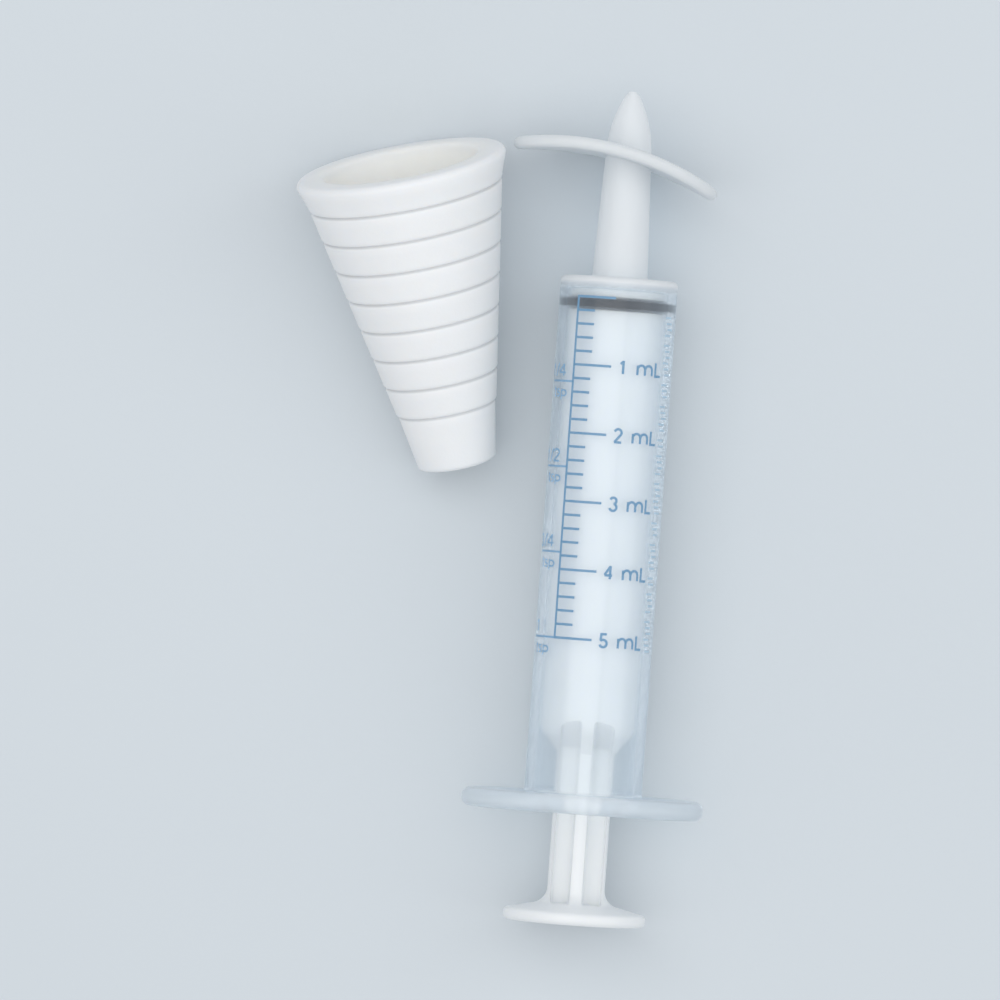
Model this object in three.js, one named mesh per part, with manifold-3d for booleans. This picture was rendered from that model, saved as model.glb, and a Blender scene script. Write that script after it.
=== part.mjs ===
// A 5 mL oral syringe with its lip guard, and the stepped bottle adapter that comes with it.
//
// Millimetres, +Z up. The syringe lies along Y with its nozzle towards +Y, on the flat lower edge
// of its finger flange. The origin is the centre of that edge. The adapter lies at its left (-X).

import * as THREE from 'three';
import { mergeVertices } from 'three/addons/utils/BufferGeometryUtils.js';
import Module from 'manifold-3d';

const wasm = await Module();
wasm.setup();

// ---- Driving dimensions ---------------------------------------------------------------------

const SIDES = 48; // facets around every turned piece
const GAP = 0.3; // clearance between pieces that touch on the real object

const BARREL = { bore: 6.175, wall: 1.0, length: 65.6, frontWall: 1.2, corner: 0.5, mouthFlare: 0.45 };
const FLANGE = { width: 29.6, height: 17.5, thickness: 2.3, edge: 0.5 };

const NOZZLE = {
  root: 3.4, // outer radius where it leaves the barrel
  shaft: 2.8, // outer radius where the rounded nose begins
  shaftLength: 14.8,
  noseLength: 8.1,
  noseCurve: 16, // radius of the arc that draws the nose in
  channel: 1.5,
  orifice: 0.4,
};

const PISTON = { radius: 5.8, length: 53.1, land: 1.0 };
const SHOULDER = { curve: 2.5, sweep: 50, length: 3.7 }; // an arc of that many degrees, then a cone
const GROOVE = { width: 1.6, floor: 4.6 };
const SEAL = { inner: 4.7, outer: 6.12, width: 1.4, corner: 0.4 };
const STEM = { radius: 3.52, length: 16.55, fillet: 2.08 };
const FLUTE = { rib: 1.5, reach: 3.1, intoPiston: 1.1, shortOfThumb: 2.3 };
const THUMB = {
  radius: 8.7,
  depth: 4.25, // from the start of its flare to its flat back
  rim: 1.4,
  cone: 16, // slope of its front, degrees
  edge: 0.6,
};

const GUARD = {
  curve: 38, // radius of the bow, seen from above
  width: 25.6,
  height: 17.5,
  thickness: 1.5,
  ahead: 15.33, // middle of the guard, ahead of the barrel's shoulder
  aside: -1.1, // and beside the nozzle's axis
  turn: -10.9, // degrees from square to the nozzle
};

const ADAPTER = {
  wide: 13.0, // radius at the mouth
  narrow: 4.9, // radius at the nose
  nose: 7.2, // length of the plain nose
  rings: 7,
  pitch: 3.86, // length of one ring
  rim: 3.8, // length of the plain rim at the mouth
  ringTaper: 9, // degrees, less than the whole cone's, so that each ring ends in a step
  ringInset: 0.1, // the rings stand just inside the line from rim to nose
  groove: 0.4,
  wall: 3.5,
  bore: 3.1, // through the nose, for the nozzle
  edge: 0.6,
  turn: 14.9, // degrees between the two axes, seen from above
};
const NOSE_END = new THREE.Vector2(-18.2, -23.9); // adapter's nose, from the barrel's shoulder

// ---- Dimensions that follow -----------------------------------------------------------------

const AXIS_HEIGHT = FLANGE.height / 2;
const BARREL_REAR = -FLANGE.thickness / 2;
const BARREL_FRONT = BARREL_REAR + BARREL.length;
const BORE_END = BARREL_FRONT - BARREL.frontWall;
const NOSE_START = BARREL_FRONT + NOZZLE.shaftLength;
const NOZZLE_TIP = NOSE_START + NOZZLE.noseLength;

const PISTON_FRONT = BORE_END - GAP;
const GROOVE_FRONT = PISTON_FRONT - PISTON.land;
const GROOVE_REAR = GROOVE_FRONT - GROOVE.width;
const PISTON_REAR = PISTON_FRONT - PISTON.length;
const STEM_FRONT = PISTON_REAR - SHOULDER.length;
const FILLET_START = STEM_FRONT - STEM.length;
const THUMB_REAR = FILLET_START - THUMB.depth;

// ---- Helpers --------------------------------------------------------------------------------

const radians = THREE.MathUtils.degToRad;
const point = (x, y) => new THREE.Vector2(x, y);

// Points along an arc about (x, y), between two angles in degrees, both ends included.
function arc(x, y, radius, from, to, steps) {
  const points = [];
  for (let i = 0; i <= steps; i += 1) {
    const angle = radians(from + ((to - from) * i) / steps);
    points.push(point(x + radius * Math.cos(angle), y + radius * Math.sin(angle)));
  }
  return points;
}

// A solid of revolution about Y, from (radius, y) points that run counterclockwise.
function turned(points) {
  return new THREE.LatheGeometry(points, SIDES);
}

// A plate with its outline in XZ and its thickness along Y, centred on y = 0.
function plateAcrossAxis(shape, thickness, edge = 0) {
  const geometry = new THREE.ExtrudeGeometry(shape, {
    depth: thickness - 2 * edge,
    curveSegments: SIDES / 4,
    bevelEnabled: edge > 0,
    bevelThickness: edge,
    bevelSize: edge,
    bevelOffset: -edge,
    bevelSegments: 2,
  });
  geometry.translate(0, 0, edge - thickness / 2);
  return geometry.rotateX(-Math.PI / 2);
}

function toSolid(geometry) {
  const bare = geometry.clone();
  bare.deleteAttribute('normal');
  bare.deleteAttribute('uv');
  const merged = mergeVertices(bare, 1e-4);
  const corners = merged.index.array;
  const triangles = [];
  for (let i = 0; i < corners.length; i += 3) {
    const [a, b, c] = corners.slice(i, i + 3);
    if (a !== b && b !== c && c !== a) triangles.push(a, b, c);
  }
  return new wasm.Manifold(
    new wasm.Mesh({
      numProp: 3,
      vertProperties: new Float32Array(merged.attributes.position.array),
      triVerts: new Uint32Array(triangles),
    }),
  );
}

function toGeometry(solid) {
  const { vertProperties, triVerts } = solid.getMesh();
  const geometry = new THREE.BufferGeometry();
  geometry.setAttribute('position', new THREE.BufferAttribute(vertProperties, 3));
  geometry.setIndex(new THREE.BufferAttribute(triVerts, 1));
  geometry.computeVertexNormals();
  return geometry;
}

function piece(name, geometry, look) {
  const mesh = new THREE.Mesh(geometry, new THREE.MeshStandardMaterial(look));
  mesh.name = name;
  return mesh;
}

// ---- Barrel ---------------------------------------------------------------------------------

// The nozzle's outside: a slow taper, then an arc that starts along the shaft and draws in.
function nozzleOutline() {
  const { root, shaft, noseLength, noseCurve } = NOZZLE;
  const lastAngle = THREE.MathUtils.radToDeg(Math.asin(noseLength / noseCurve));
  return [
    point(root, BARREL_FRONT),
    ...arc(shaft - noseCurve, NOSE_START, noseCurve, 0, lastAngle, 6),
    point(0, NOZZLE_TIP),
  ];
}

function barrelOutside() {
  const radius = BARREL.bore + BARREL.wall;
  const { corner } = BARREL;
  return turned([
    point(0, BARREL_REAR),
    point(radius, BARREL_REAR),
    ...arc(radius - corner, BARREL_FRONT - corner, corner, 0, 90, 3),
    ...nozzleOutline(),
  ]);
}

// The space inside: the bore with its flared mouth, and the channel that narrows to the tip.
function barrelInside() {
  const { bore, mouthFlare } = BARREL;
  const { channel, orifice } = NOZZLE;
  const beyond = 1;
  return turned([
    point(0, BARREL_REAR - beyond),
    point(bore + mouthFlare, BARREL_REAR - beyond),
    point(bore + mouthFlare, BARREL_REAR),
    point(bore, BARREL_REAR + FLANGE.thickness),
    point(bore, BORE_END),
    point(channel, BORE_END),
    point(channel, NOSE_START),
    point(orifice, NOZZLE_TIP - 1),
    point(orifice, NOZZLE_TIP + beyond),
    point(0, NOZZLE_TIP + beyond),
  ]);
}

function fingerFlange() {
  const { width, height, thickness, edge } = FLANGE;
  const end = height / 2;
  const centre = width / 2 - end;
  const shape = new THREE.Shape();
  shape.absarc(centre, 0, end, -Math.PI / 2, Math.PI / 2, false);
  shape.absarc(-centre, 0, end, Math.PI / 2, (3 * Math.PI) / 2, false);
  return plateAcrossAxis(shape, thickness, edge);
}

function makeBarrel() {
  const solid = toSolid(barrelOutside()).add(toSolid(fingerFlange())).subtract(toSolid(barrelInside()));
  return piece('barrel', toGeometry(solid), {
    color: 0xdfe8ef,
    roughness: 0.35,
    metalness: 0,
    transparent: true,
    opacity: 0.45,
  });
}

// ---- Lip guard ------------------------------------------------------------------------------

// A bowed bar, as tall as the guard, with its middle at the origin and its ends bent back.
function bowedBar() {
  const { curve, width, height, thickness } = GUARD;
  const half = thickness / 2;
  const spread = Math.asin((width / 2 - half) / curve);
  const left = Math.PI / 2 + spread;
  const right = Math.PI / 2 - spread;
  const endAt = (angle) => [curve * Math.cos(angle), curve * Math.sin(angle) - curve];
  const shape = new THREE.Shape();
  shape.absarc(0, -curve, curve + half, right, left, false);
  shape.absarc(...endAt(left), half, left, left + Math.PI, false);
  shape.absarc(0, -curve, curve - half, left, right, true);
  shape.absarc(...endAt(right), half, right + Math.PI, right, false);
  const bar = new THREE.ExtrudeGeometry(shape, { depth: height, bevelEnabled: false, curveSegments: 10 });
  return bar.translate(0, 0, -height / 2);
}

function makeLipGuard() {
  const place = new THREE.Matrix4().makeRotationZ(radians(GUARD.turn));
  place.setPosition(GUARD.aside, BARREL_FRONT + GUARD.ahead, 0);

  const oval = new THREE.Shape().absellipse(0, 0, GUARD.width / 2, GUARD.height / 2, 0, 2 * Math.PI);
  const outline = plateAcrossAxis(oval, GUARD.width);

  const hole = new THREE.CylinderGeometry(NOZZLE.shaft + GAP, NOZZLE.shaft + GAP, GUARD.width, SIDES);
  hole.translate(0, BARREL_FRONT + GUARD.ahead, 0).applyMatrix4(place.clone().invert());

  const solid = toSolid(bowedBar()).intersect(toSolid(outline)).subtract(toSolid(hole));
  const guard = piece('lip_guard', toGeometry(solid), { color: 0xeef3f7, roughness: 0.4, metalness: 0 });
  guard.applyMatrix4(place);
  return guard;
}

// ---- Plunger --------------------------------------------------------------------------------

// The rod as it would be turned: thumb disc, flare, round stem, shoulder, piston, seal groove.
function turnedRod() {
  const { radius, rim, cone, edge } = THUMB;
  const { fillet } = STEM;
  return turned([
    point(0, THUMB_REAR),
    ...arc(radius - edge, THUMB_REAR + edge, edge, -90, 0, 3),
    ...arc(radius - edge, THUMB_REAR + rim - edge, edge, 0, 90 - cone, 3),
    ...arc(STEM.radius + fillet, FILLET_START, fillet, 270 - cone, 180, 5),
    point(STEM.radius, STEM_FRONT),
    ...arc(PISTON.radius - SHOULDER.curve, PISTON_REAR, SHOULDER.curve, -SHOULDER.sweep, 0, 4),
    point(PISTON.radius, GROOVE_REAR),
    point(GROOVE.floor, GROOVE_REAR),
    point(GROOVE.floor, GROOVE_FRONT),
    point(PISTON.radius, GROOVE_FRONT),
    point(PISTON.radius, PISTON_FRONT),
    point(0, PISTON_FRONT),
  ]);
}

// One of the four flutes, open upwards or downwards, that leave a cross-shaped stem.
function flute(side, upOrDown) {
  const { rib, reach, intoPiston, shortOfThumb } = FLUTE;
  const rear = THUMB_REAR + shortOfThumb;
  const front = PISTON_REAR + intoPiston;
  const beyond = PISTON.radius + 1;
  const box = new THREE.BoxGeometry(reach - rib / 2, front - rear, beyond - rib / 2);
  return box.translate((side * (reach + rib / 2)) / 2, (front + rear) / 2, (upOrDown * (beyond + rib / 2)) / 2);
}

function makePlungerRod() {
  let solid = toSolid(turnedRod());
  for (const side of [-1, 1]) {
    for (const upOrDown of [-1, 1]) solid = solid.subtract(toSolid(flute(side, upOrDown)));
  }
  return piece('plunger_rod', toGeometry(solid), { color: 0xf1f4f6, roughness: 0.45, metalness: 0 });
}

function makeSealRing() {
  const { inner, outer, width, corner } = SEAL;
  const middle = GROOVE_REAR + GROOVE.width / 2;
  const rear = middle - width / 2;
  const front = middle + width / 2;
  const profile = [
    ...arc(outer - corner, rear + corner, corner, -90, 0, 2),
    ...arc(outer - corner, front - corner, corner, 0, 90, 2),
    point(inner, front),
    point(inner, rear),
  ];
  return piece('seal_ring', turned([...profile, profile[0]]), { color: 0x1c1d20, roughness: 0.6, metalness: 0 });
}

// ---- Bottle adapter -------------------------------------------------------------------------

const ADAPTER_LENGTH = ADAPTER.nose + ADAPTER.rings * ADAPTER.pitch + ADAPTER.rim;

// Radius of the cone that touches the lip of every ring, at a distance from the nose.
function coneRadius(y) {
  const { narrow, wide, ringInset } = ADAPTER;
  return THREE.MathUtils.mapLinear(y, 0, ADAPTER_LENGTH, narrow, wide) - ringInset;
}

// The step at the nose side of a ring: the end of the ring below, the groove, the ring's own lip.
function ringStep(y) {
  const { pitch, ringTaper, groove } = ADAPTER;
  const ringBelow = coneRadius(y - pitch) + pitch * Math.tan(radians(ringTaper));
  return [
    point(ringBelow, y - 0.3),
    point(coneRadius(y) - groove, y - 0.1),
    point(coneRadius(y), y + 0.2),
  ];
}

function makeBottleAdapter() {
  const { wide, narrow, nose, rings, pitch, wall, bore, edge, turn } = ADAPTER;
  const steps = [];
  for (let ring = 0; ring <= rings; ring += 1) steps.push(...ringStep(nose + ring * pitch));
  const profile = [
    point(bore, 0),
    ...arc(narrow - edge, edge, edge, -90, 0, 3),
    ...steps,
    ...arc(wide - edge, ADAPTER_LENGTH - edge, edge, 0, 90, 3),
    point(wide - wall, ADAPTER_LENGTH),
    point(bore, nose),
  ];
  const adapter = piece('bottle_adapter', turned([...profile, profile[0]]), {
    color: 0xf4f4f0,
    roughness: 0.55,
    metalness: 0,
  });

  // It lies on the rim of its mouth and the rim of its nose, which leans its axis.
  const lean = Math.atan((wide - narrow) / (ADAPTER_LENGTH - 2 * edge));
  const noseHeight = edge + (narrow - edge) * Math.cos(lean) - edge * Math.sin(lean);
  adapter.rotation.set(lean, 0, radians(turn), 'ZXY');
  adapter.position.set(NOSE_END.x, BARREL_FRONT + NOSE_END.y, noseHeight);
  return adapter;
}

// ---- Assembly -------------------------------------------------------------------------------

const syringe = new THREE.Group();
syringe.position.z = AXIS_HEIGHT;
syringe.add(makeBarrel(), makeLipGuard(), makePlungerRod(), makeSealRing());

const group = new THREE.Group();
group.add(syringe, makeBottleAdapter());

export default group;
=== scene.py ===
"""The looks of an oral syringe with its lip guard, and of the stepped bottle adapter beside it.

Shapes are worked out in millimetres in the row frame and scaled to metres when a mesh is made.
The syringe lies along +Y. An angle around it is measured from the top, and grows towards +X.
"""

import math

import bmesh
import bpy
import numpy as np
from mathutils import Matrix, Vector


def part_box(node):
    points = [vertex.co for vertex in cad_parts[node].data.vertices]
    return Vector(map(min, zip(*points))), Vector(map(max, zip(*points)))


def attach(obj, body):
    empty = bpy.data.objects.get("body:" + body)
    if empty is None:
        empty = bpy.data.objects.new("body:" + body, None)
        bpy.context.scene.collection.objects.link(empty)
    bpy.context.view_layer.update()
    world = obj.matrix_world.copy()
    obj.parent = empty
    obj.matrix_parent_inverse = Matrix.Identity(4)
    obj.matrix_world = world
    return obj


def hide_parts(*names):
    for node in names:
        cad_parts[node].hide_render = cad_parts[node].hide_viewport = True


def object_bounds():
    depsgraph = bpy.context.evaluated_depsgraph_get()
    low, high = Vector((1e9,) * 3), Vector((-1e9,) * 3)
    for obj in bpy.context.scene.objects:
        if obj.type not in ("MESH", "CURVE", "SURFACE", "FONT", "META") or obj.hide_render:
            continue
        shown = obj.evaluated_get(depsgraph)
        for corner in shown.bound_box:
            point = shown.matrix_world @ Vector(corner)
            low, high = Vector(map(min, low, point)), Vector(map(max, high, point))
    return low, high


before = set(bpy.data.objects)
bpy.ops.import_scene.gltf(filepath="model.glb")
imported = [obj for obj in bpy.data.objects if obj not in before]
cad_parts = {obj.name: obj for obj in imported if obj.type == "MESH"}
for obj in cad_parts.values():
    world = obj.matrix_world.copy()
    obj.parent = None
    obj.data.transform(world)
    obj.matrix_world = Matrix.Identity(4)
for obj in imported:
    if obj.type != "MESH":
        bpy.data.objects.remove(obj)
cad_box = [list(corner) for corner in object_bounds()]

MM = 0.001
ROW_STEP = 1.2  # longest step along an outline
SHARP_ANGLE = 40  # an edge bent by more than this many degrees is drawn sharp
CUT_SHARP_ANGLE = 35  # and on a piece that something was cut out of
BARREL_COLUMNS = 192  # facets around each piece
PLUNGER_COLUMNS = 128
GUARD_COLUMNS = 160
ADAPTER_COLUMNS = 160


def box_mm(node):
    """The lowest and highest corners of a CAD node, in millimetres."""
    return [np.array(corner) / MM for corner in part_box(node)]


# ---- Dimensions -----------------------------------------------------------------------------

BARREL_LOW, BARREL_HIGH = box_mm("barrel")
PLUNGER_LOW, PLUNGER_HIGH = box_mm("plunger_rod")
SEAL_LOW, SEAL_HIGH = box_mm("seal_ring")
ADAPTER_LOW, ADAPTER_HIGH = box_mm("bottle_adapter")

AXIS_HEIGHT = BARREL_HIGH[2] / 2
FLANGE_HALF_WIDTH = BARREL_HIGH[0]
FLANGE_HALF_HEIGHT = AXIS_HEIGHT
FLANGE_THICKNESS = 2.3
FLANGE_ROUNDING = 1.0
FLANGE_MILKINESS = 0.5  # of the nozzle's
MILK_BEHIND = 0.6  # the plastic turns milky from this far behind the bore's end
MILK_AHEAD = 0.2  # to this far ahead of it

BARREL_REAR = BARREL_LOW[1]
NOZZLE_TIP = BARREL_HIGH[1]
BORE = 6.175
BARREL_RADIUS = 7.175
FRONT_WALL = 1.2
MOUTH_FLARE = 0.45
MOUTH_LAND = 0.6  # straight part of the bore that is drawn with its flared mouth
NOZZLE_ROOT = 3.4
NOZZLE_SHAFT = 2.8
SHAFT_LENGTH = 14.8
NOSE_LENGTH = 8.1
NOSE_CURVE = 16.0
NOSE_START = NOZZLE_TIP - NOSE_LENGTH
BARREL_FRONT = NOSE_START - SHAFT_LENGTH
BORE_END = BARREL_FRONT - FRONT_WALL
CHANNEL = 1.5
ORIFICE = 0.4

PISTON_FRONT = PLUNGER_HIGH[1]
PISTON_RADIUS = 5.8
PISTON_LENGTH = 53.1
PISTON_REAR = PISTON_FRONT - PISTON_LENGTH
SHOULDER_CURVE = 2.5
SHOULDER_SWEEP = 50  # degrees of that curve, then a cone down to the stem
SHOULDER_LENGTH = 3.7
STEM_FRONT = PISTON_REAR - SHOULDER_LENGTH
STEM_RADIUS = 3.52
GROOVE_FLOOR = 4.6
THUMB_REAR = PLUNGER_LOW[1]
THUMB_RADIUS = PLUNGER_HIGH[0]
THUMB_RIM = 1.4
THUMB_CONE = 16  # slope of its front, degrees
THUMB_DEPTH = 4.25  # from its flat back to where its flare starts
THUMB_EDGE = 0.6
FILLET = 2.08
FILLET_START = THUMB_REAR + THUMB_DEPTH
FLUTE_RIB = 1.5
FLUTE_REACH = 3.1
FLUTE_REAR = THUMB_REAR + 2.3
FLUTE_FRONT = PISTON_REAR + 1.1
FLUTE_RAMP = 4.0  # a flute's floor rises over this length at the piston
FLUTE_EDGE = 0.35

SEAL_MIDDLE = (SEAL_LOW[1] + SEAL_HIGH[1]) / 2
SEAL_WIDTH = SEAL_HIGH[1] - SEAL_LOW[1]
SEAL_CLEARANCE = 0.1  # on each side of it in its groove
GROOVE_WIDTH = SEAL_WIDTH + 2 * SEAL_CLEARANCE
SEAL_SQUEEZE = 0.012  # how far the rubber presses into the bore's wall
SEAL_INSIDE_GAP = 0.05  # between it and the groove's floor
SEAL_INSIDE_EDGE = 0.1
SEAL_OUTSIDE_EDGE = 0.3

GUARD_CURVE = 38.0
GUARD_HALF_WIDTH = 12.8
GUARD_HALF_HEIGHT = AXIS_HEIGHT
GUARD_THICKNESS = 1.5
GUARD_TURN = math.radians(-10.9)
GUARD_ASIDE = -1.1
GUARD_AHEAD = 15.33
GUARD_HOLE = NOZZLE_SHAFT + 0.08
GUARD_RIM_ROUNDING = 0.7
GUARD_HOLE_ROUNDING = 0.2

ADAPTER_WIDE = 13.0
ADAPTER_NARROW = 4.9
ADAPTER_NOSE = 7.2
ADAPTER_RINGS = 7
ADAPTER_PITCH = 3.86
ADAPTER_RIM = 3.8
ADAPTER_WALL = 3.5
ADAPTER_BORE = 3.1
ADAPTER_LENGTH = ADAPTER_NOSE + ADAPTER_RINGS * ADAPTER_PITCH + ADAPTER_RIM
ADAPTER_TURN = math.radians(14.9)
RING_TAPER = math.tan(math.radians(9))  # less than the cone's, so that each ring ends in a step
RING_INSET = 0.1  # the rings stand just inside the line from rim to nose
RING_GROOVE = 0.45
RING_GROOVE_LEAST = 0.12
NOSE_TAPER_SHARE = 0.9  # the nose widens a little less than the rings do
ADAPTER_EDGE = 0.6  # roundings of its nose, rim, lip and hole
ADAPTER_RIM_EDGE = 0.8
ADAPTER_LIP_EDGE = 0.7
ADAPTER_HOLE_EDGE = 0.3

# The step between two rings, as points (radius, y). Their y is measured from the step.
RING_END_POINTS = [(-0.02, -0.55), (-0.05, -0.38)]  # radius from the end of the ring before
RING_GROOVE_POINTS = [(0.03, -0.22), (0, -0.12), (0.02, -0.02)]  # radius from the groove's floor
RING_START_POINTS = [(-0.12, 0.1), (-0.02, 0.28), (0.01, 0.5)]  # radius from the ring's start

# ---- Outlines and meshes --------------------------------------------------------------------


def filleted(corners, steps=5):
    """The points of a closed outline whose corners (radius, y, rounding) are rounded off."""
    points = []
    for i, (radius, y, rounding) in enumerate(corners):
        here = np.array((radius, y))
        if rounding == 0:
            points.append(tuple(here))
            continue
        back = np.array(corners[i - 1][:2]) - here
        ahead = np.array(corners[(i + 1) % len(corners)][:2]) - here
        back /= np.linalg.norm(back)
        ahead /= np.linalg.norm(ahead)
        opening = math.acos(float(np.clip(back @ ahead, -1, 1)))
        bisector = (back + ahead) / np.linalg.norm(back + ahead)
        centre = here + bisector * rounding / math.sin(opening / 2)
        reach = rounding / math.tan(opening / 2)
        start = here + back * reach - centre
        end = here + ahead * reach - centre
        sweep = math.pi - opening
        for t in np.linspace(0, 1, steps + 1):
            spot = (start * math.sin((1 - t) * sweep) + end * math.sin(t * sweep)) / math.sin(sweep)
            points.append(tuple(centre + spot))
    return points


def arc(radius, y, size, start, end, steps):
    """Points on a circle of that size about (radius, y), between two angles in degrees."""
    angles = np.radians(np.linspace(start, end, steps + 1))
    return [(radius + size * math.cos(a), y + size * math.sin(a)) for a in angles]


def spaced(rows, longest):
    """A line of rows (radius, y, ...) with more added, so that no step is longer than that."""
    result = [np.array(rows[0], float)]
    for following in rows[1:]:
        start = result[-1]
        step = np.array(following, float) - start
        count = max(1, math.ceil(math.hypot(*step[:2]) / longest))
        result += [start + step * k / count for k in range(1, count + 1)]
    return np.array(result)


def new_object(name, mesh, material, body=None):
    """An object for a mesh, with its material, riding on its body."""
    piece = bpy.data.objects.new(name, mesh)
    bpy.context.scene.collection.objects.link(piece)
    mesh.materials.append(material)
    if body:
        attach(piece, body)
    return piece


def finish_mesh(name, bm):
    """A smooth-shaded mesh in metres, facing outwards, from a bmesh in millimetres."""
    bmesh.ops.remove_doubles(bm, verts=bm.verts, dist=1e-5)
    bmesh.ops.recalc_face_normals(bm, faces=bm.faces)
    bmesh.ops.scale(bm, vec=(MM, MM, MM), verts=bm.verts)
    mesh = bpy.data.meshes.new(name)
    bm.to_mesh(mesh)
    bm.free()
    mesh.shade_smooth()
    mesh.set_sharp_from_angle(angle=math.radians(SHARP_ANGLE))
    return mesh


def ring_of_quads(grid, layers=None):
    """A closed bmesh from a grid of points [row][column] that wraps around both ways.

    layers holds one number per row for each named layer, kept as point attributes.
    """
    rows, columns = grid.shape[:2]
    bm = bmesh.new()
    named = {name: bm.verts.layers.float.new(name) for name in layers or {}}
    verts = []
    for i in range(rows):
        for j in range(columns):
            vert = bm.verts.new(grid[i, j])
            for name, layer in named.items():
                vert[layer] = layers[name][i]
            verts.append(vert)
    for i in range(rows):
        below = (i + 1) % rows
        for j in range(columns):
            beside = (j + 1) % columns
            corners = [(i, j), (i, beside), (below, beside), (below, j)]
            bm.faces.new([verts[r * columns + c] for r, c in corners])
    return bm


def around(columns):
    """Evenly spaced angles, one per column."""
    return np.arange(columns) * 2 * math.pi / columns


def turned_grid(rows, columns, rim=None):
    """Points [row][column] of a solid turned about the syringe's axis, from rows (radius, y).

    With rim, rows are (radius, y, share), and that share of the rim's radius is added.
    """
    angles = around(columns)
    radii = np.repeat(rows[:, :1], columns, axis=1)
    if rim is not None:
        radii = radii + rows[:, 2:3] * rim(angles)[None, :]
    across = radii * np.sin(angles)
    up = radii * np.cos(angles) + AXIS_HEIGHT
    along = np.repeat(rows[:, 1:2], columns, axis=1)
    return np.stack([across, along, up], axis=2)


# ---- Materials ------------------------------------------------------------------------------


def node(tree, kind, inputs=None, **settings):
    """Adds a shader node. Its inputs are plain values or other nodes' outputs."""
    made = tree.nodes.new("ShaderNode" + kind)
    for key, value in settings.items():
        setattr(made, key, value)
    for key, value in (inputs or {}).items():
        if isinstance(value, bpy.types.NodeSocket):
            tree.links.new(value, made.inputs[key])
        else:
            made.inputs[key].default_value = value
    return made


def new_material(name):
    """A material and its empty node tree."""
    material = bpy.data.materials.new(name)
    material.use_nodes = True
    material.node_tree.nodes.clear()
    return material, material.node_tree


def set_surface(tree, shader):
    output = node(tree, "OutputMaterial")
    tree.links.new(shader, output.inputs["Surface"])


def noise(tree, per_mm, detail=3, stretch=(1, 1, 1)):
    """Noise of that many features per millimetre, fixed to the object."""
    place = node(tree, "TexCoord").outputs["Object"]
    mapped = node(tree, "Mapping", {"Vector": place, "Scale": stretch}).outputs["Vector"]
    texture = node(tree, "TexNoise", {"Vector": mapped, "Scale": per_mm / MM, "Detail": detail})
    return texture.outputs["Fac"]


def ranged(tree, value, low, high, start=0.3, end=0.7):
    """value from start to end, stretched to run from low to high."""
    inputs = {"Value": value, "From Min": start, "From Max": end, "To Min": low, "To Max": high}
    return node(tree, "MapRange", inputs).outputs["Result"]


def mixed(tree, share, first, second):
    """A colour between two others."""
    inputs = {"Fac": share, "Color1": first, "Color2": second}
    return node(tree, "MixRGB", inputs).outputs["Color"]


def bumped(tree, height, depth_mm, normal=None):
    """A normal tilted by a height, on top of another normal if there is one."""
    inputs = {"Height": height, "Distance": depth_mm * MM}
    if normal is not None:
        inputs["Normal"] = normal
    return node(tree, "Bump", inputs).outputs["Normal"]


def maths(tree, operation, a, b):
    return node(tree, "Math", {0: a, 1: b}, operation=operation).outputs["Value"]


def scuffs(tree, along=0.06):
    """0, and up to 1 in a few fine rub marks that run along the object."""
    streaks = noise(tree, 1.6, 2, (1, along, 1))
    patches = noise(tree, 0.09, 2)
    marks = ranged(tree, streaks, 0, 1, 0.60, 0.70)
    return maths(tree, "MULTIPLY", marks, ranged(tree, patches, 0, 1, 0.48, 0.62))


def frosted_plastic():
    """Hazy clear plastic that bends and blurs light, milky where it is thick or seen aslant."""
    material, tree = new_material("frosted_barrel")
    satin = noise(tree, 2.2, 4)
    flow = noise(tree, 0.2, 1, (1, 0.3, 1))
    cloud = noise(tree, 0.12, 2, (1, 0.4, 1))
    rubbed = maths(tree, "MULTIPLY", scuffs(tree), 0.06)
    roughness = maths(tree, "ADD", ranged(tree, cloud, 0.15, 0.20), rubbed)
    tint = mixed(tree, cloud, (0.965, 0.98, 0.992, 1), (0.985, 0.993, 1.0, 1))
    clear = node(
        tree,
        "BsdfPrincipled",
        {
            "Base Color": tint,
            "Roughness": roughness,
            "IOR": 1.49,
            "Transmission Weight": 1.0,
            "Normal": bumped(tree, flow, 0.01),
        },
    ).outputs["BSDF"]
    thick = node(tree, "Attribute", attribute_name="thick").outputs["Fac"]
    milk = mixed(tree, thick, (0.76, 0.86, 0.95, 1), (0.97, 0.975, 0.975, 1))
    normal = bumped(tree, satin, 0.004)
    lit = node(tree, "BsdfDiffuse", {"Color": milk, "Normal": normal}).outputs["BSDF"]
    glowing = node(tree, "BsdfTranslucent", {"Color": milk, "Normal": normal}).outputs["BSDF"]
    milky = node(tree, "MixShader", {"Fac": 0.25, 1: lit, 2: glowing}).outputs["Shader"]
    aslant = node(tree, "LayerWeight", {"Blend": 0.35}).outputs["Facing"]
    thin_haze = ranged(tree, aslant, 0.08, 0.60, 0, 1)
    haze = maths(tree, "MAXIMUM", thin_haze, ranged(tree, thick, 0.0, 0.85, 0, 1))
    body = node(tree, "MixShader", {"Fac": haze, 1: clear, 2: milky}).outputs["Shader"]
    path = node(tree, "LightPath").outputs
    passing = maths(tree, "MAXIMUM", path["Is Shadow Ray"], path["Is Diffuse Ray"])
    let_in = mixed(tree, thick, (0.94, 0.96, 0.97, 1), (0.82, 0.86, 0.89, 1))
    through = node(tree, "BsdfTransparent", {"Color": let_in}).outputs["BSDF"]
    set_surface(tree, node(tree, "MixShader", {"Fac": passing, 1: body, 2: through}).outputs["Shader"])
    return material


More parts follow.
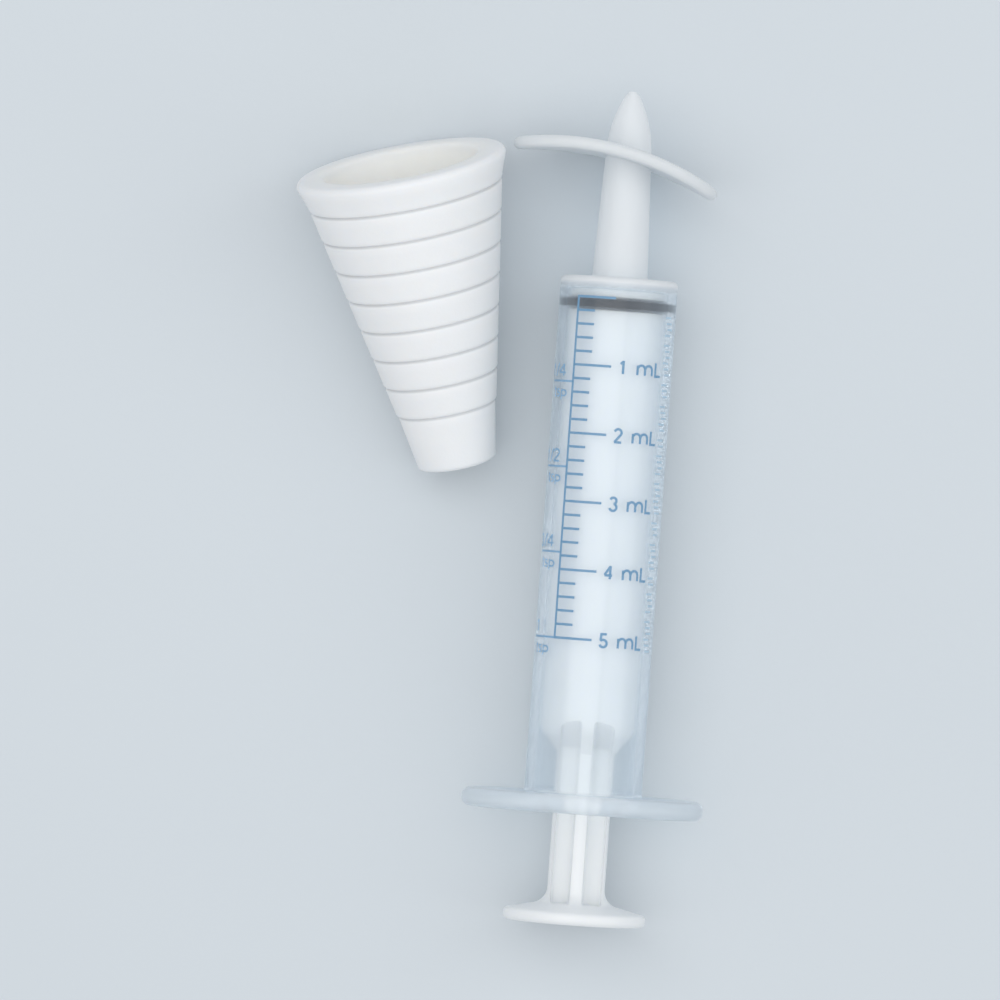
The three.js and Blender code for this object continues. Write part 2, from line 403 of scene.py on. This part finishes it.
def printing_ink(name, colour):
    """Ink with a fine grain, where the plastic shows through a little."""
    material, tree = new_material(name)
    grain = noise(tree, 9.0, 3)
    paling = 0.45
    faded = tuple(c + (1 - c) * paling for c in colour[:3]) + (1,)
    shade = mixed(tree, ranged(tree, grain, 0, 0.5), colour, faded)
    shader = node(
        tree,
        "BsdfPrincipled",
        {
            "Base Color": shade,
            "Roughness": ranged(tree, grain, 0.35, 0.55),
            "Normal": bumped(tree, grain, 0.01),
        },
    )
    set_surface(tree, shader.outputs["BSDF"])
    return material


def white_plastic():
    """Moulded white plastic, satin, with light soaking a little way in."""
    material, tree = new_material("white_plunger")
    mottle = noise(tree, 0.25, 3)
    satin = noise(tree, 3.0, 4)
    flow = noise(tree, 0.9, 2, (1, 0.12, 1))
    rubbed = maths(tree, "MULTIPLY", scuffs(tree), 0.2)
    colour = mixed(tree, mottle, (0.84, 0.86, 0.87, 1), (0.89, 0.905, 0.915, 1))
    rounded_edges = node(tree, "Bevel", {"Radius": 0.18 * MM}, samples=4).outputs["Normal"]
    normal = bumped(tree, maths(tree, "ADD", satin, flow), 0.012, normal=rounded_edges)
    shader = node(
        tree,
        "BsdfPrincipled",
        {
            "Base Color": colour,
            "Roughness": maths(tree, "ADD", ranged(tree, satin, 0.32, 0.42), rubbed),
            "Subsurface Weight": 0.7,
            "Subsurface Radius": (1.0, 1.0, 1.1),
            "Subsurface Scale": 3.0 * MM,
            "Normal": normal,
        },
    )
    set_surface(tree, shader.outputs["BSDF"])
    return material


def seal_rubber():
    """Black rubber, smooth but not shiny, with a faint blue cast painted into its colour."""
    material, tree = new_material("seal_rubber")
    grain = noise(tree, 6.0, 4)
    # Painted reflection: the black is tinted faintly blue, standing in for the blue cast of the sky
    # and of the hazy barrel around it.
    shader = node(
        tree,
        "BsdfPrincipled",
        {
            "Base Color": mixed(tree, grain, (0.006, 0.010, 0.018, 1), (0.014, 0.020, 0.032, 1)),
            "Roughness": ranged(tree, grain, 0.38, 0.55),
            "Normal": bumped(tree, grain, 0.02),
        },
    )
    set_surface(tree, shader.outputs["BSDF"])
    return material


def milky_plastic():
    """The lip guard: thin milky plastic that some light passes through."""
    material, tree = new_material("guard_plastic")
    satin = noise(tree, 2.5, 4)
    mottle = noise(tree, 0.3, 2)
    rubbed = maths(tree, "MULTIPLY", scuffs(tree, 1), 0.15)
    normal = bumped(tree, satin, 0.008)
    colour = mixed(tree, mottle, (0.88, 0.91, 0.93, 1), (0.93, 0.95, 0.96, 1))
    shader = node(
        tree,
        "BsdfPrincipled",
        {
            "Base Color": colour,
            "Roughness": maths(tree, "ADD", ranged(tree, satin, 0.28, 0.38), rubbed),
            "Subsurface Weight": 0.6,
            "Subsurface Radius": (1.0, 1.0, 1.1),
            "Subsurface Scale": 2.0 * MM,
            "Normal": normal,
        },
    ).outputs["BSDF"]
    glowing = node(tree, "BsdfTranslucent", {"Color": colour, "Normal": normal}).outputs["BSDF"]
    set_surface(tree, node(tree, "MixShader", {"Fac": 0.3, 1: shader, 2: glowing}).outputs["Shader"])
    return material


def soft_plastic():
    """The adapter: soft matt plastic, cool white outside; painted light makes it warmer and lighter
    inside, and painted shade makes it darker in its grooves.
    """
    material, tree = new_material("soft_adapter")
    inside = node(tree, "Attribute", attribute_name="inside").outputs["Fac"]
    groove_shade = node(tree, "Attribute", attribute_name="groove_shade").outputs["Fac"]
    mottle = noise(tree, 0.22, 3)
    pebble = noise(tree, 1.4, 4)
    rubbed = maths(tree, "MULTIPLY", scuffs(tree, 0.3), 0.12)
    outer = mixed(tree, mottle, (0.86, 0.865, 0.87, 1), (0.905, 0.91, 0.913, 1))
    # Painted light: the inside is warmer and lighter than the outside, standing in for light glowing
    # through the translucent wall into the shaded hollow.
    painted_inner_glow = mixed(tree, mottle, (0.96, 0.945, 0.89, 1), (0.98, 0.97, 0.93, 1))
    colour = mixed(tree, inside, outer, painted_inner_glow)
    # Painted shade: each groove's floor is darkened towards grey, standing in for the shadow under the
    # step of the ring above it.
    shaded = mixed(tree, maths(tree, "MULTIPLY", groove_shade, 0.35), colour, (0.42, 0.43, 0.45, 1))
    shader = node(
        tree,
        "BsdfPrincipled",
        {
            "Base Color": shaded,
            "Roughness": maths(tree, "SUBTRACT", ranged(tree, pebble, 0.48, 0.62), rubbed),
            "Subsurface Weight": 0.5,
            "Subsurface Radius": (1.1, 1.0, 0.9),
            "Subsurface Scale": 2.5 * MM,
            "Normal": bumped(tree, pebble, 0.03),
        },
    )
    set_surface(tree, shader.outputs["BSDF"])
    return material


def pale_floor():
    """Plain pale grey-blue, a little uneven."""
    material, tree = new_material("pale_floor")
    fine = noise(tree, 1.5, 4)
    broad = noise(tree, 0.01, 2)
    colour = mixed(tree, broad, (0.63, 0.675, 0.71, 1), (0.665, 0.71, 0.74, 1))
    shader = node(
        tree,
        "BsdfPrincipled",
        {"Base Color": colour, "Roughness": 0.6, "Normal": bumped(tree, fine, 0.01)},
    )
    set_surface(tree, shader.outputs["BSDF"])
    return material


# ---- Barrel ---------------------------------------------------------------------------------


def flange_edge(angles):
    """Distance from the axis to the edge of the finger flange: a bar with round ends."""
    across = np.abs(np.sin(angles))
    up = np.abs(np.cos(angles))
    centre = FLANGE_HALF_WIDTH - FLANGE_HALF_HEIGHT
    flat = FLANGE_HALF_HEIGHT / np.maximum(up, 1e-9)
    under_root = np.maximum(FLANGE_HALF_HEIGHT**2 - (centre * up) ** 2, 0)
    end = centre * across + np.sqrt(under_root)
    return np.where(flat * across <= centre, flat, end)


def barrel_rows():
    """(radius, y, share of the flange's edge) once round the wall, from the nozzle's tip."""
    flange_front = BARREL_REAR + FLANGE_THICKNESS
    nose_end = math.degrees(math.asin(NOSE_LENGTH / NOSE_CURVE))
    nose = arc(NOZZLE_SHAFT - NOSE_CURVE, NOSE_START, NOSE_CURVE, nose_end, 0, 14)[1:]
    outside = filleted(
        [
            nose[-1] + (0,),
            (NOZZLE_ROOT, BARREL_FRONT, 0.4),
            (BARREL_RADIUS, BARREL_FRONT, 0.6),
            (BARREL_RADIUS, flange_front, 0.5),
            (FLANGE_HALF_WIDTH, flange_front, 0),
        ]
    )[1:-1]
    rounding = FLANGE_ROUNDING
    rim = arc(-rounding, flange_front - rounding, rounding, 90, 0, 6)
    rim += arc(-rounding, BARREL_REAR + rounding, rounding, 0, -90, 6)
    # The bore is one long span, so the seal meets the same faces wherever it slides.
    mouth = filleted(
        [
            (FLANGE_HALF_WIDTH, BARREL_REAR, 0),
            (BORE + MOUTH_FLARE, BARREL_REAR, 0.25),
            (BORE, flange_front, 0.4),
            (BORE, flange_front + MOUTH_LAND, 0),
        ]
    )[1:]
    channel = filleted(
        [
            (BORE, BORE_END - 1, 0),
            (BORE, BORE_END, 0.35),
            (CHANNEL, BORE_END, 0.3),
            (CHANNEL, NOSE_START, 0.8),
            (ORIFICE, NOZZLE_TIP - 1, 0.3),
            (ORIFICE, NOZZLE_TIP, 0),
        ]
    )
    edge = [point + (1,) for point in rim]
    spans = []
    for part in (nose + outside, mouth, channel):
        spans.append(spaced([point + (0,) for point in part], ROW_STEP))
    outer, flare, inner = spans
    return np.vstack([outer, edge, flare, inner])


def make_barrel():
    """The barrel, flange and nozzle. Each point keeps how thick, and so milky, the plastic is."""
    rows = barrel_rows()
    thick = np.interp(rows[:, 1], [BORE_END - MILK_BEHIND, BORE_END + MILK_AHEAD], [0, 1])
    thick = np.maximum(thick, FLANGE_MILKINESS * rows[:, 2])
    bm = ring_of_quads(turned_grid(rows, BARREL_COLUMNS, flange_edge), {"thick": thick})
    mesh = finish_mesh("barrel_shell", bm)
    barrel = new_object("barrel_shell", mesh, frosted_plastic(), "barrel")
    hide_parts("barrel")


# ---- Printed scale --------------------------------------------------------------------------

INK_DEPTH = 0.02  # how far the ink stands above the barrel's surface, and reaches into it
ZERO_LINE = SEAL_HIGH[1]  # the front edge of the seal
PER_ML = 8.34
CAPACITY_ML = 5
TICKS_PER_ML = 5
TEASPOON_ML = 5
LINE = 0.30
STROKE_STEP = 0.4  # longest step along a stroke, which has to follow the round barrel
MITRE_LIMIT = 0.6  # least cosine of half a bend, so that sharp corners don't stick out
ML_TEXT = 1.62  # height of a sign

# Where print is seen from above, across the barrel from its axis.
SPINE = -4.85
LONG_TICK_END = -0.35
SHORT_TICK_END = -2.8
ML_TEXT_START = 0.65
DASH_NEAR_END = 5.95
DASH_FAR_END = 6.7

# Where the teaspoon scale is, in degrees around the barrel.
TEASPOON_FAR_END = -80
TEASPOON_TEXT_END = -51
TEASPOON_LINE = 0.24

DASH_LINE = 0.28
DASH_STEP = 0.72
DASH_GAP = 0.5  # more, between groups
DASH_ROOM = 0.3  # left free at the far end
DASH_SHIFT = 0.25  # around the barrel, from one dash to the next
DASHES_IN_TURN = 3  # then back to the first one's place
DASH_GROUPS = [4, 6, 3, 5, 2]  # how many dashes each group has, over and over
DASHES_START = BARREL_FRONT - 4.5
DASHES_END = BARREL_FRONT - 43.5

# Strokes of each sign on a unit-high body, and how far it is from its start to the next one's.
SIGNS = {
    "1": (0.74, [[(0.30, 0.0), (0.30, 1.0)], [(0.08, 0.74), (0.30, 0.94)]]),
    "2": (0.74, [arc(0.27, 0.73, 0.26, 165, -40, 10) + [(0.02, 0.0)], [(0.0, 0.0), (0.55, 0.0)]]),
    "3": (0.74, [arc(0.27, 0.75, 0.24, 160, -80, 10), arc(0.27, 0.26, 0.27, 80, -165, 12)]),
    "4": (
        0.74,
        [
            [(0.42, 0.0), (0.42, 1.0)],
            [(0.42, 0.97), (0.0, 0.30)],
            [(0.0, 0.28), (0.58, 0.28)],
        ],
    ),
    "5": (0.74, [[(0.50, 1.0), (0.10, 1.0), (0.05, 0.50)], arc(0.26, 0.30, 0.28, 140, -160, 12)]),
    " ": (0.70, []),
    "m": (
        1.64,
        [
            [(0.0, 0.0), (0.0, 0.73)],
            arc(0.32, 0.42, 0.32, 180, 0, 9) + [(0.64, 0.0)],
            arc(0.97, 0.42, 0.32, 180, 0, 9) + [(1.29, 0.0)],
        ],
    ),
    "L": (0.55, [[(0.0, 1.0), (0.0, 0.0), (0.55, 0.0)]]),
    "t": (
        0.48,
        [
            [(0.14, 0.95), (0.14, 0.12), (0.22, 0.0), (0.32, 0.0)],
            [(0.0, 0.72), (0.32, 0.72)],
        ],
    ),
    "s": (0.64, [arc(0.22, 0.54, 0.18, 40, 260, 8) + arc(0.22, 0.19, 0.19, 80, -140, 8)]),
    "p": (0.55, [[(0.0, 0.73), (0.0, -0.30)], arc(0.25, 0.36, 0.30, 155, -155, 12)]),
    "/": (0.42, [[(0.0, -0.05), (0.30, 1.05)]]),
}


def around_to(seen):
    """The way around the barrel to what is seen from above at that distance from its axis."""
    return BARREL_RADIUS * math.asin(seen / BARREL_RADIUS)


def add_stroke(bm, path, width=LINE):
    """A line of ink along a path of points (way around the barrel from its top, y)."""
    dense = [np.array(path[0])]
    for point in path[1:]:
        count = math.ceil(math.dist(dense[-1], point) / STROKE_STEP)
        start = dense[-1]
        dense += [start + (np.array(point) - start) * k / count for k in range(1, count + 1)]
    dense = np.array(dense)
    steps = np.diff(dense, axis=0)
    steps /= np.linalg.norm(steps, axis=1)[:, None]
    arriving = np.vstack([steps[:1], steps])
    leaving = np.vstack([steps, steps[-1:]])
    along = arriving + leaving
    along /= np.linalg.norm(along, axis=1)[:, None]
    mitre = 1 / np.maximum((along * arriving).sum(axis=1), MITRE_LIMIT)
    beside = np.stack([-along[:, 1], along[:, 0]], axis=1) * mitre[:, None] * width / 2
    rings = []
    for centre, aside in zip(dense, beside):
        ring = []
        for side, lift in ((1, -1), (1, 1), (-1, 1), (-1, -1)):
            way, y = centre + side * aside
            radius = BARREL_RADIUS + lift * INK_DEPTH
            angle = way / BARREL_RADIUS
            up = AXIS_HEIGHT + radius * math.cos(angle)
            ring.append(bm.verts.new((radius * math.sin(angle), y, up)))
        rings.append(ring)
    for first, second in zip(rings, rings[1:]):
        for k in range(4):
            bm.faces.new([first[k], first[k - 3], second[k - 3], second[k]])
    bm.faces.new(rings[0])
    bm.faces.new(rings[-1])


def text_width(text, height, stretch=1.0):
    """How far a text reaches around the barrel."""
    return sum(SIGNS[sign][0] for sign in text) * height * stretch


def add_text(bm, text, height, start, y, width, stretch=1.0):
    """Prints a text from start, with the middle of its height at y."""
    across = height * stretch
    for sign in text:
        advance, strokes = SIGNS[sign]
        for stroke in strokes:
            add_stroke(bm, [(start + u * across, y + (v - 0.5) * height) for u, v in stroke], width)
        start += advance * across


def add_print(name, bm, ink):
    """An object of ink that stays on the barrel."""
    new_object(name, finish_mesh(name, bm), ink, "barrel")


def print_ml_scale():
    """The 5 mL scale: a line along the barrel with a tick every 0.2 mL and a figure every 1 mL."""
    bm = bmesh.new()
    spine = around_to(SPINE)
    spine_end = ZERO_LINE - CAPACITY_ML * PER_ML - LINE / 2
    add_stroke(bm, [(spine, ZERO_LINE + LINE / 2), (spine, spine_end)])
    for tick in range(CAPACITY_ML * TICKS_PER_ML + 1):
        y = ZERO_LINE - tick * PER_ML / TICKS_PER_ML
        end = around_to(LONG_TICK_END if tick % TICKS_PER_ML == 0 else SHORT_TICK_END)
        add_stroke(bm, [(spine + LINE / 2, y), (end, y)])
    for ml in range(1, CAPACITY_ML + 1):
        y = ZERO_LINE - ml * PER_ML
        add_text(bm, f"{ml} mL", ML_TEXT, around_to(ML_TEXT_START), y, LINE)
    add_print("scale_ml", bm, printing_ink("scale_ink", (0.07, 0.25, 0.45, 1)))


def print_teaspoon_scale():
    """Quarters of a teaspoon, at the far side of the line along the barrel."""
    bm = bmesh.new()
    right = math.radians(TEASPOON_TEXT_END) * BARREL_RADIUS
    left = math.radians(TEASPOON_FAR_END) * BARREL_RADIUS
    quarter_ml = TEASPOON_ML / 4
    figures_above = 1.35
    unit_below = 1.3
    lone_figure = 3.4  # the 1 stands below the middle of the fractions
    figures = {"height": 1.45, "width": 0.22, "stretch": 1.6}
    unit = {"height": 1.2, "width": 0.2, "stretch": 1.5}
    unit_start = right - text_width("tsp", unit["height"], unit["stretch"])
    for quarter, text in enumerate(["1/4", "1/2", "3/4", "1"], 1):
        y = ZERO_LINE - quarter * quarter_ml * PER_ML
        add_stroke(bm, [(left, y), (around_to(SPINE) - LINE / 2, y)], TEASPOON_LINE)
        start = right - text_width(text, figures["height"], figures["stretch"])
        if text == "1":
            start = right - lone_figure
        add_text(bm, text, start=start, y=y + figures_above, **figures)
        add_text(bm, "tsp", start=unit_start, y=y - unit_below, **unit)
    add_print("scale_tsp", bm, printing_ink("teaspoon_ink", (0.13, 0.33, 0.55, 1)))


def print_dashes():
    """A stripe of short cross dashes along the barrel, in groups."""
    bm = bmesh.new()
    near = around_to(DASH_NEAR_END)
    far = around_to(DASH_FAR_END) - DASH_ROOM
    y = DASHES_START
    group = 0
    while y > DASHES_END:
        for dash in range(DASH_GROUPS[group % len(DASH_GROUPS)]):
            shift = DASH_SHIFT * (dash % DASHES_IN_TURN)
            add_stroke(bm, [(near + shift, y), (far + shift, y)], DASH_LINE)
            y -= DASH_STEP
        y -= DASH_GAP
        group += 1
    add_print("dash_lines", bm, printing_ink("dash_ink", (0.40, 0.57, 0.71, 1)))


# ---- Plunger --------------------------------------------------------------------------------


def plunger_rows():
    """(radius, y) of the plunger as it would be turned, from the middle of its thumb disc."""
    groove_front = SEAL_MIDDLE + GROOVE_WIDTH / 2
    groove_rear = SEAL_MIDDLE - GROOVE_WIDTH / 2
    flare = arc(STEM_RADIUS + FILLET, FILLET_START, FILLET, 270 - THUMB_CONE, 180, 8)
    disc = filleted(
        [
            (0, THUMB_REAR, 0),
            (THUMB_RADIUS, THUMB_REAR, THUMB_EDGE),
            (THUMB_RADIUS, THUMB_REAR + THUMB_RIM, THUMB_EDGE),
            flare[0] + (0,),
        ]
    )[:-1]
    curve = SHOULDER_CURVE
    shoulder = arc(PISTON_RADIUS - curve, PISTON_REAR, curve, -SHOULDER_SWEEP, 0, 10)
    head = filleted(
        [
            shoulder[-1] + (0,),
            (PISTON_RADIUS, groove_rear, 0.12),
            (GROOVE_FLOOR, groove_rear, 0.1),
            (GROOVE_FLOOR, groove_front, 0.1),
            (PISTON_RADIUS, groove_front, 0.12),
            (PISTON_RADIUS, PISTON_FRONT, 0.3),
            (0, PISTON_FRONT, 0),
        ]
    )[1:]
    return spaced(disc + flare + [(STEM_RADIUS, STEM_FRONT)] + shoulder + head, ROW_STEP)


def flute_cutter(side, upward):
    """A round-cornered bar that cuts one flute along the stem."""
    half = FLUTE_RIB / 2
    beyond = PISTON_RADIUS + 1
    size = (FLUTE_REACH - half, FLUTE_FRONT - FLUTE_REAR, beyond - half)
    across = side * (FLUTE_REACH + half) / 2
    along = (FLUTE_FRONT + FLUTE_REAR) / 2
    up = AXIS_HEIGHT + upward * (beyond + half) / 2
    bm = bmesh.new()
    bmesh.ops.create_cube(bm, size=1)
    bmesh.ops.scale(bm, vec=size, verts=bm.verts)
    for vert in bm.verts:
        if vert.co.y > 0 and vert.co.z * upward < 0:
            vert.co.y -= FLUTE_RAMP
    edges = bm.edges[:]
    bmesh.ops.bevel(bm, geom=edges, offset=FLUTE_EDGE, segments=4, profile=0.5, affect="EDGES")
    bmesh.ops.translate(bm, vec=(across, along, up), verts=bm.verts)
    return bm


def cut(piece, cutters):
    """Cuts solids, given as bmeshes, out of a piece."""
    bm = bmesh.new()
    for cutter in cutters:
        mesh = bpy.data.meshes.new("cutter")
        cutter.to_mesh(mesh)
        cutter.free()
        bm.from_mesh(mesh)
        bpy.data.meshes.remove(mesh)
    mesh = finish_mesh("cutter", bm)
    tool = bpy.data.objects.new("cutter", mesh)
    bpy.context.scene.collection.objects.link(tool)
    modifier = piece.modifiers.new("Cut", "BOOLEAN")
    modifier.operation = "DIFFERENCE"
    modifier.solver = "EXACT"
    modifier.object = tool
    bpy.context.view_layer.update()
    evaluated = piece.evaluated_get(bpy.context.evaluated_depsgraph_get())
    result = bpy.data.meshes.new_from_object(evaluated)
    piece.modifiers.clear()
    piece.data = result
    result.shade_smooth()
    result.set_sharp_from_angle(angle=math.radians(CUT_SHARP_ANGLE))
    bpy.data.objects.remove(tool)


def make_plunger():
    """The plunger, turned as one piece, with four flutes cut along its stem."""
    grid = turned_grid(plunger_rows(), PLUNGER_COLUMNS)
    mesh = finish_mesh("plunger", ring_of_quads(grid))
    plunger = new_object("plunger", mesh, white_plastic(), "plunger")
    cut(plunger, [flute_cutter(side, up) for side in (-1, 1) for up in (-1, 1)])
    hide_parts("plunger_rod")


def make_seal():
    """The rubber ring in the plunger's groove, flattened where it presses on the bore."""
    inner = GROOVE_FLOOR + SEAL_INSIDE_GAP
    outer = BORE + SEAL_SQUEEZE
    half = SEAL_WIDTH / 2
    outline = filleted(
        [
            (inner, SEAL_MIDDLE - half, SEAL_INSIDE_EDGE),
            (outer, SEAL_MIDDLE - half, SEAL_OUTSIDE_EDGE),
            (outer, SEAL_MIDDLE + half, SEAL_OUTSIDE_EDGE),
            (inner, SEAL_MIDDLE + half, SEAL_INSIDE_EDGE),
        ]
    )
    grid = turned_grid(np.array(outline), PLUNGER_COLUMNS)
    mesh = finish_mesh("seal", ring_of_quads(grid))
    seal = new_object("seal", mesh, seal_rubber(), "seal")
    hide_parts("seal_ring")


# ---- Lip guard ------------------------------------------------------------------------------


def guard_rows(columns):
    """(across, up, off the middle) of the flat plate's points, once round from rim to hole."""
    angles = around(columns)
    half = GUARD_THICKNESS / 2
    half_length = GUARD_CURVE * math.asin(GUARD_HALF_WIDTH / GUARD_CURVE)
    # The nozzle passes through the plate off its middle, and at a slant.
    hole_across = -GUARD_ASIDE / math.cos(GUARD_TURN)
    slant = math.tan(GUARD_TURN - hole_across / GUARD_CURVE)

    def at_rim(inset, off):
        across = (half_length - inset) * np.sin(angles)
        up = (GUARD_HALF_HEIGHT - inset) * np.cos(angles)
        return np.stack([across, up, np.full(columns, off)])

    def at_hole(growth, off):
        radius = GUARD_HOLE + growth
        across = hole_across + off * slant + radius * np.sin(angles)
        return np.stack([across, radius * np.cos(angles), np.full(columns, off)])

    def rounded(place, rounding, start):
        """The round edge from one side of the plate to the other, seen from start degrees."""
        rows = []
        for angle in np.radians(np.linspace(start, -start, 13)):
            off = math.copysign(half - rounding, math.sin(angle)) + rounding * math.sin(angle)
            rows.append(place(rounding * (1 - math.cos(angle)), off))
        return rows

    rim = rounded(at_rim, GUARD_RIM_ROUNDING, 90)
    hole = rounded(at_hole, GUARD_HOLE_ROUNDING, -90)
    shares = np.linspace(0, 1, 9)[1:-1]
    rear = [(1 - share) * rim[-1] + share * hole[0] for share in shares]
    front = [(1 - share) * hole[-1] + share * rim[0] for share in shares]
    return np.array(rim + rear + hole + front)


def make_lip_guard():
    """An oval plate with a round rim and a hole for the nozzle, bowed along its length."""
    across, up, off = np.moveaxis(guard_rows(GUARD_COLUMNS), 1, 0)
    bend = across / GUARD_CURVE
    x = (GUARD_CURVE + off) * np.sin(bend)
    y = (GUARD_CURVE + off) * np.cos(bend) - GUARD_CURVE
    cos = math.cos(GUARD_TURN)
    sin = math.sin(GUARD_TURN)
    placed_x = x * cos - y * sin + GUARD_ASIDE
    placed_y = x * sin + y * cos + BARREL_FRONT + GUARD_AHEAD
    grid = np.stack([placed_x, placed_y, up + AXIS_HEIGHT], axis=2)
    mesh = finish_mesh("lip_shield", ring_of_quads(grid))
    guard = new_object("lip_shield", mesh, milky_plastic(), "guard")
    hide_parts("lip_guard")


# ---- Bottle adapter -------------------------------------------------------------------------


def cone_radius(y):
    """Radius of the rings, at a distance from the adapter's nose."""
    widening = (ADAPTER_WIDE - ADAPTER_NARROW) / ADAPTER_LENGTH
    return ADAPTER_NARROW + widening * y - RING_INSET


def adapter_rows():
    """(radius, y, inside, groove shade) once round the adapter's wall, from its nose's hole. The
    inside share gets painted light, the groove share painted shade.
    """
    rows = []

    def add(points, inside=0.0, groove_shade=0.0):
        rows.extend((r, y, inside, groove_shade) for r, y in points)

    def add_step(points, radius, step_y, groove_shade=0.0):
        add([(radius + outward, step_y + along) for outward, along in points], groove_shade=groove_shade)

    hole = ADAPTER_HOLE_EDGE
    add(arc(ADAPTER_BORE + hole, hole, hole, 180, 270, 4), inside=0.5)
    add(arc(ADAPTER_NARROW - ADAPTER_EDGE, ADAPTER_EDGE, ADAPTER_EDGE, -90, 0, 6))
    for ring in range(ADAPTER_RINGS + 1):
        y = ADAPTER_NOSE + ring * ADAPTER_PITCH
        ring_start = cone_radius(y)
        ring_end = cone_radius(y - ADAPTER_PITCH) + ADAPTER_PITCH * RING_TAPER
        if ring == 0:
            ring_end = ADAPTER_NARROW + (y - ADAPTER_EDGE) * RING_TAPER * NOSE_TAPER_SHARE
        floor = ring_start - RING_GROOVE
        ring_end = max(ring_end, floor + RING_GROOVE_LEAST)
        add_step(RING_END_POINTS, ring_end, y)
        # These groove rows carry the painted shade of the step above them.
        add_step(RING_GROOVE_POINTS, floor, y, groove_shade=1)
        add_step(RING_START_POINTS, ring_start, y)
    rim = ADAPTER_RIM_EDGE
    add(arc(ADAPTER_WIDE - rim, ADAPTER_LENGTH - rim, rim, 0, 90, 7))
    lip = ADAPTER_LIP_EDGE
    mouth = ADAPTER_WIDE - ADAPTER_WALL
    # inside marks where the painted glow of light through the wall goes.
    add(arc(mouth + lip, ADAPTER_LENGTH - lip, lip, 90, 180, 6), inside=0.6)
    add([(mouth - 0.2, ADAPTER_LENGTH - 2 * lip)], inside=1)
    add([(ADAPTER_BORE + hole, ADAPTER_NOSE + 0.5), (ADAPTER_BORE, ADAPTER_NOSE - 0.2)], inside=1)
    return rows


def make_adapter():
    """The adapter, turned about its own axis, then laid on the floor at its angle."""
    profile = adapter_rows()
    rows = spaced(profile + profile[:1], 1.0)[:-1]
    grid = turned_grid(rows, ADAPTER_COLUMNS) - (0, 0, AXIS_HEIGHT)
    # Soft plastic comes out of its mould slightly out of round, and most at its mouth.
    angles = around(ADAPTER_COLUMNS)
    oval = 0.004 * np.sin(2 * angles + 0.6)
    three_sided = 0.0025 * np.sin(3 * angles + 2.0)
    swell = oval + three_sided
    grid[:, :, ::2] *= (1 + swell[None, :] * rows[:, 1:2] / ADAPTER_LENGTH)[:, :, None]
    lean = math.atan((ADAPTER_WIDE - ADAPTER_NARROW) / (ADAPTER_LENGTH - 2 * ADAPTER_EDGE))
    place = Matrix.Rotation(ADAPTER_TURN, 3, "Z") @ Matrix.Rotation(lean, 3, "X")
    grid = grid @ np.array(place).T
    low = grid.min(axis=(0, 1))
    high = grid.max(axis=(0, 1))
    shift = (ADAPTER_LOW + ADAPTER_HIGH - low - high) / 2
    shift[2] = ADAPTER_LOW[2] - low[2]
    grid += shift
    bm = ring_of_quads(grid, {"inside": rows[:, 2], "groove_shade": rows[:, 3]})
    mesh = finish_mesh("adapter_cone", bm)
    adapter = new_object("adapter_cone", mesh, soft_plastic(), "adapter")
    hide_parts("bottle_adapter")


# ---- Stage ----------------------------------------------------------------------------------

# These are in metres.
FLOOR_HALF_WIDTH = 2.0
CAMERA_DISTANCE = 1.2
FRAME_HEIGHT = 0.122  # of what the camera sees
CAMERA_ROLL = math.radians(4.1)


def make_floor():
    """A plain floor, wide enough to fill the view from any side."""
    bm = bmesh.new()
    bmesh.ops.create_grid(bm, x_segments=8, y_segments=8, size=FLOOR_HALF_WIDTH)
    mesh = bpy.data.meshes.new("floor")
    bm.to_mesh(mesh)
    bm.free()
    floor = new_object("floor", mesh, pale_floor())


def aim(thing, place, target, up):
    """Puts a light or camera at a place, looking at a target, with up towards its top."""
    back = (Vector(place) - Vector(target)).normalized()
    right = Vector(up).cross(back).normalized()
    top = back.cross(right)
    turn = Matrix((right, top, back)).transposed()
    thing.matrix_world = Matrix.Translation(place) @ turn.to_4x4()


def add_light(name, place, size, power, colour, target):
    """A soft rectangular light. It isn't seen through the barrel, where it would sparkle."""
    data = bpy.data.lights.new(name, "AREA")
    data.shape = "RECTANGLE"
    data.size, data.size_y = size
    data.energy = power
    data.color = colour
    light = bpy.data.objects.new(name, data)
    light.visible_transmission = False
    bpy.context.scene.collection.objects.link(light)
    aim(light, place, target, up=Vector((0.1, 1, 0.2)))


def light_scene(target):
    """Soft studio light: pale surroundings, one broad light and a weaker one to the right."""
    world = bpy.data.worlds.new("studio")
    bpy.context.scene.world = world
    world.use_nodes = True
    background = world.node_tree.nodes["Background"]
    background.inputs["Color"].default_value = (0.93, 0.96, 1.0, 1)
    background.inputs["Strength"].default_value = 0.60
    add_light(
        "key",
        place=(-0.20, 0.10, 0.80),
        size=(1.0, 0.9),
        power=3.2,
        colour=(1.0, 0.995, 0.985),
        target=target,
    )
    add_light(
        "fill",
        place=(0.50, 0.10, 0.50),
        size=(0.6, 0.6),
        power=0.9,
        colour=(0.95, 0.98, 1.0),
        target=target,
    )
    bpy.context.scene.view_settings.view_transform = "Standard"


def add_camera(target):
    """A distant camera that looks straight down, rolled so that the syringe leans."""
    data = bpy.data.cameras.new("camera")
    camera = bpy.data.objects.new("camera", data)
    bpy.context.scene.collection.objects.link(camera)
    data.sensor_width = 36
    data.lens = data.sensor_width * CAMERA_DISTANCE / FRAME_HEIGHT
    data.clip_end = 20
    up = Vector((-math.sin(CAMERA_ROLL), math.cos(CAMERA_ROLL), 0))
    aim(camera, target + Vector((0, 0, CAMERA_DISTANCE)), target, up)
    bpy.context.scene.camera = camera


def main():
    make_barrel()
    print_ml_scale()
    print_teaspoon_scale()
    print_dashes()
    make_plunger()
    make_seal()
    make_lip_guard()
    make_adapter()
    make_floor()
    low, high = [Vector(corner) for corner in cad_box]
    target = (low + high) / 2
    light_scene(target)
    add_camera(target)


main()
bpy.context.view_layer.update()
